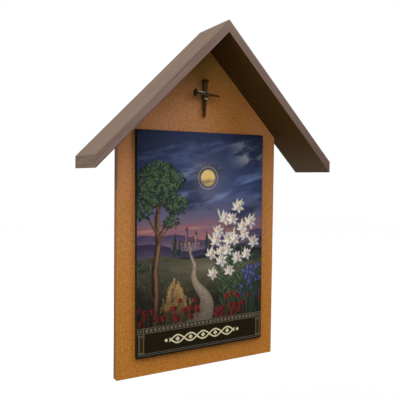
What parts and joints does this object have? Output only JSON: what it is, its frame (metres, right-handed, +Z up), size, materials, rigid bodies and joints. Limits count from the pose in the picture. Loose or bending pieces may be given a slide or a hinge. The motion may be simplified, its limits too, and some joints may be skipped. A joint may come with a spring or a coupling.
{
  "type": "gabled wayside shrine panel",
  "caption": "Gabled shrine panel that hangs on a wall or post: a pentagonal board under a mitred plank roof that shelters a framed-edge picture and a cross of forged nails.",
  "frame": {"origin": "on the flat back face, on the centreline, halfway up the straight sides of the board", "axes": "+X to the right seen from the front, +Y out of the back towards the wall or post, +Z up to the ridge; the picture faces -Y"},
  "size_m": [0.529, 0.112, 0.6985],
  "materials": {
    "fibreboard": "orange-brown mottled fibreboard, satin",
    "roof_wood": "taupe-brown stained plank with lengthwise grain",
    "picture": "printed face on a panel with black edges, satin",
    "forged_iron": "blackened, hammer marked",
    "wire": "dull annealed wire"
  },
  "bodies": {
    "root": {"back_board": "fibreboard", "left_roof_board": "roof_wood", "right_roof_board": "roof_wood", "picture_panel": "picture", "upright_nail": "forged_iron", "cross_nail": "forged_iron", "binding_wire": "wire"}
  },
  "joints": []
}
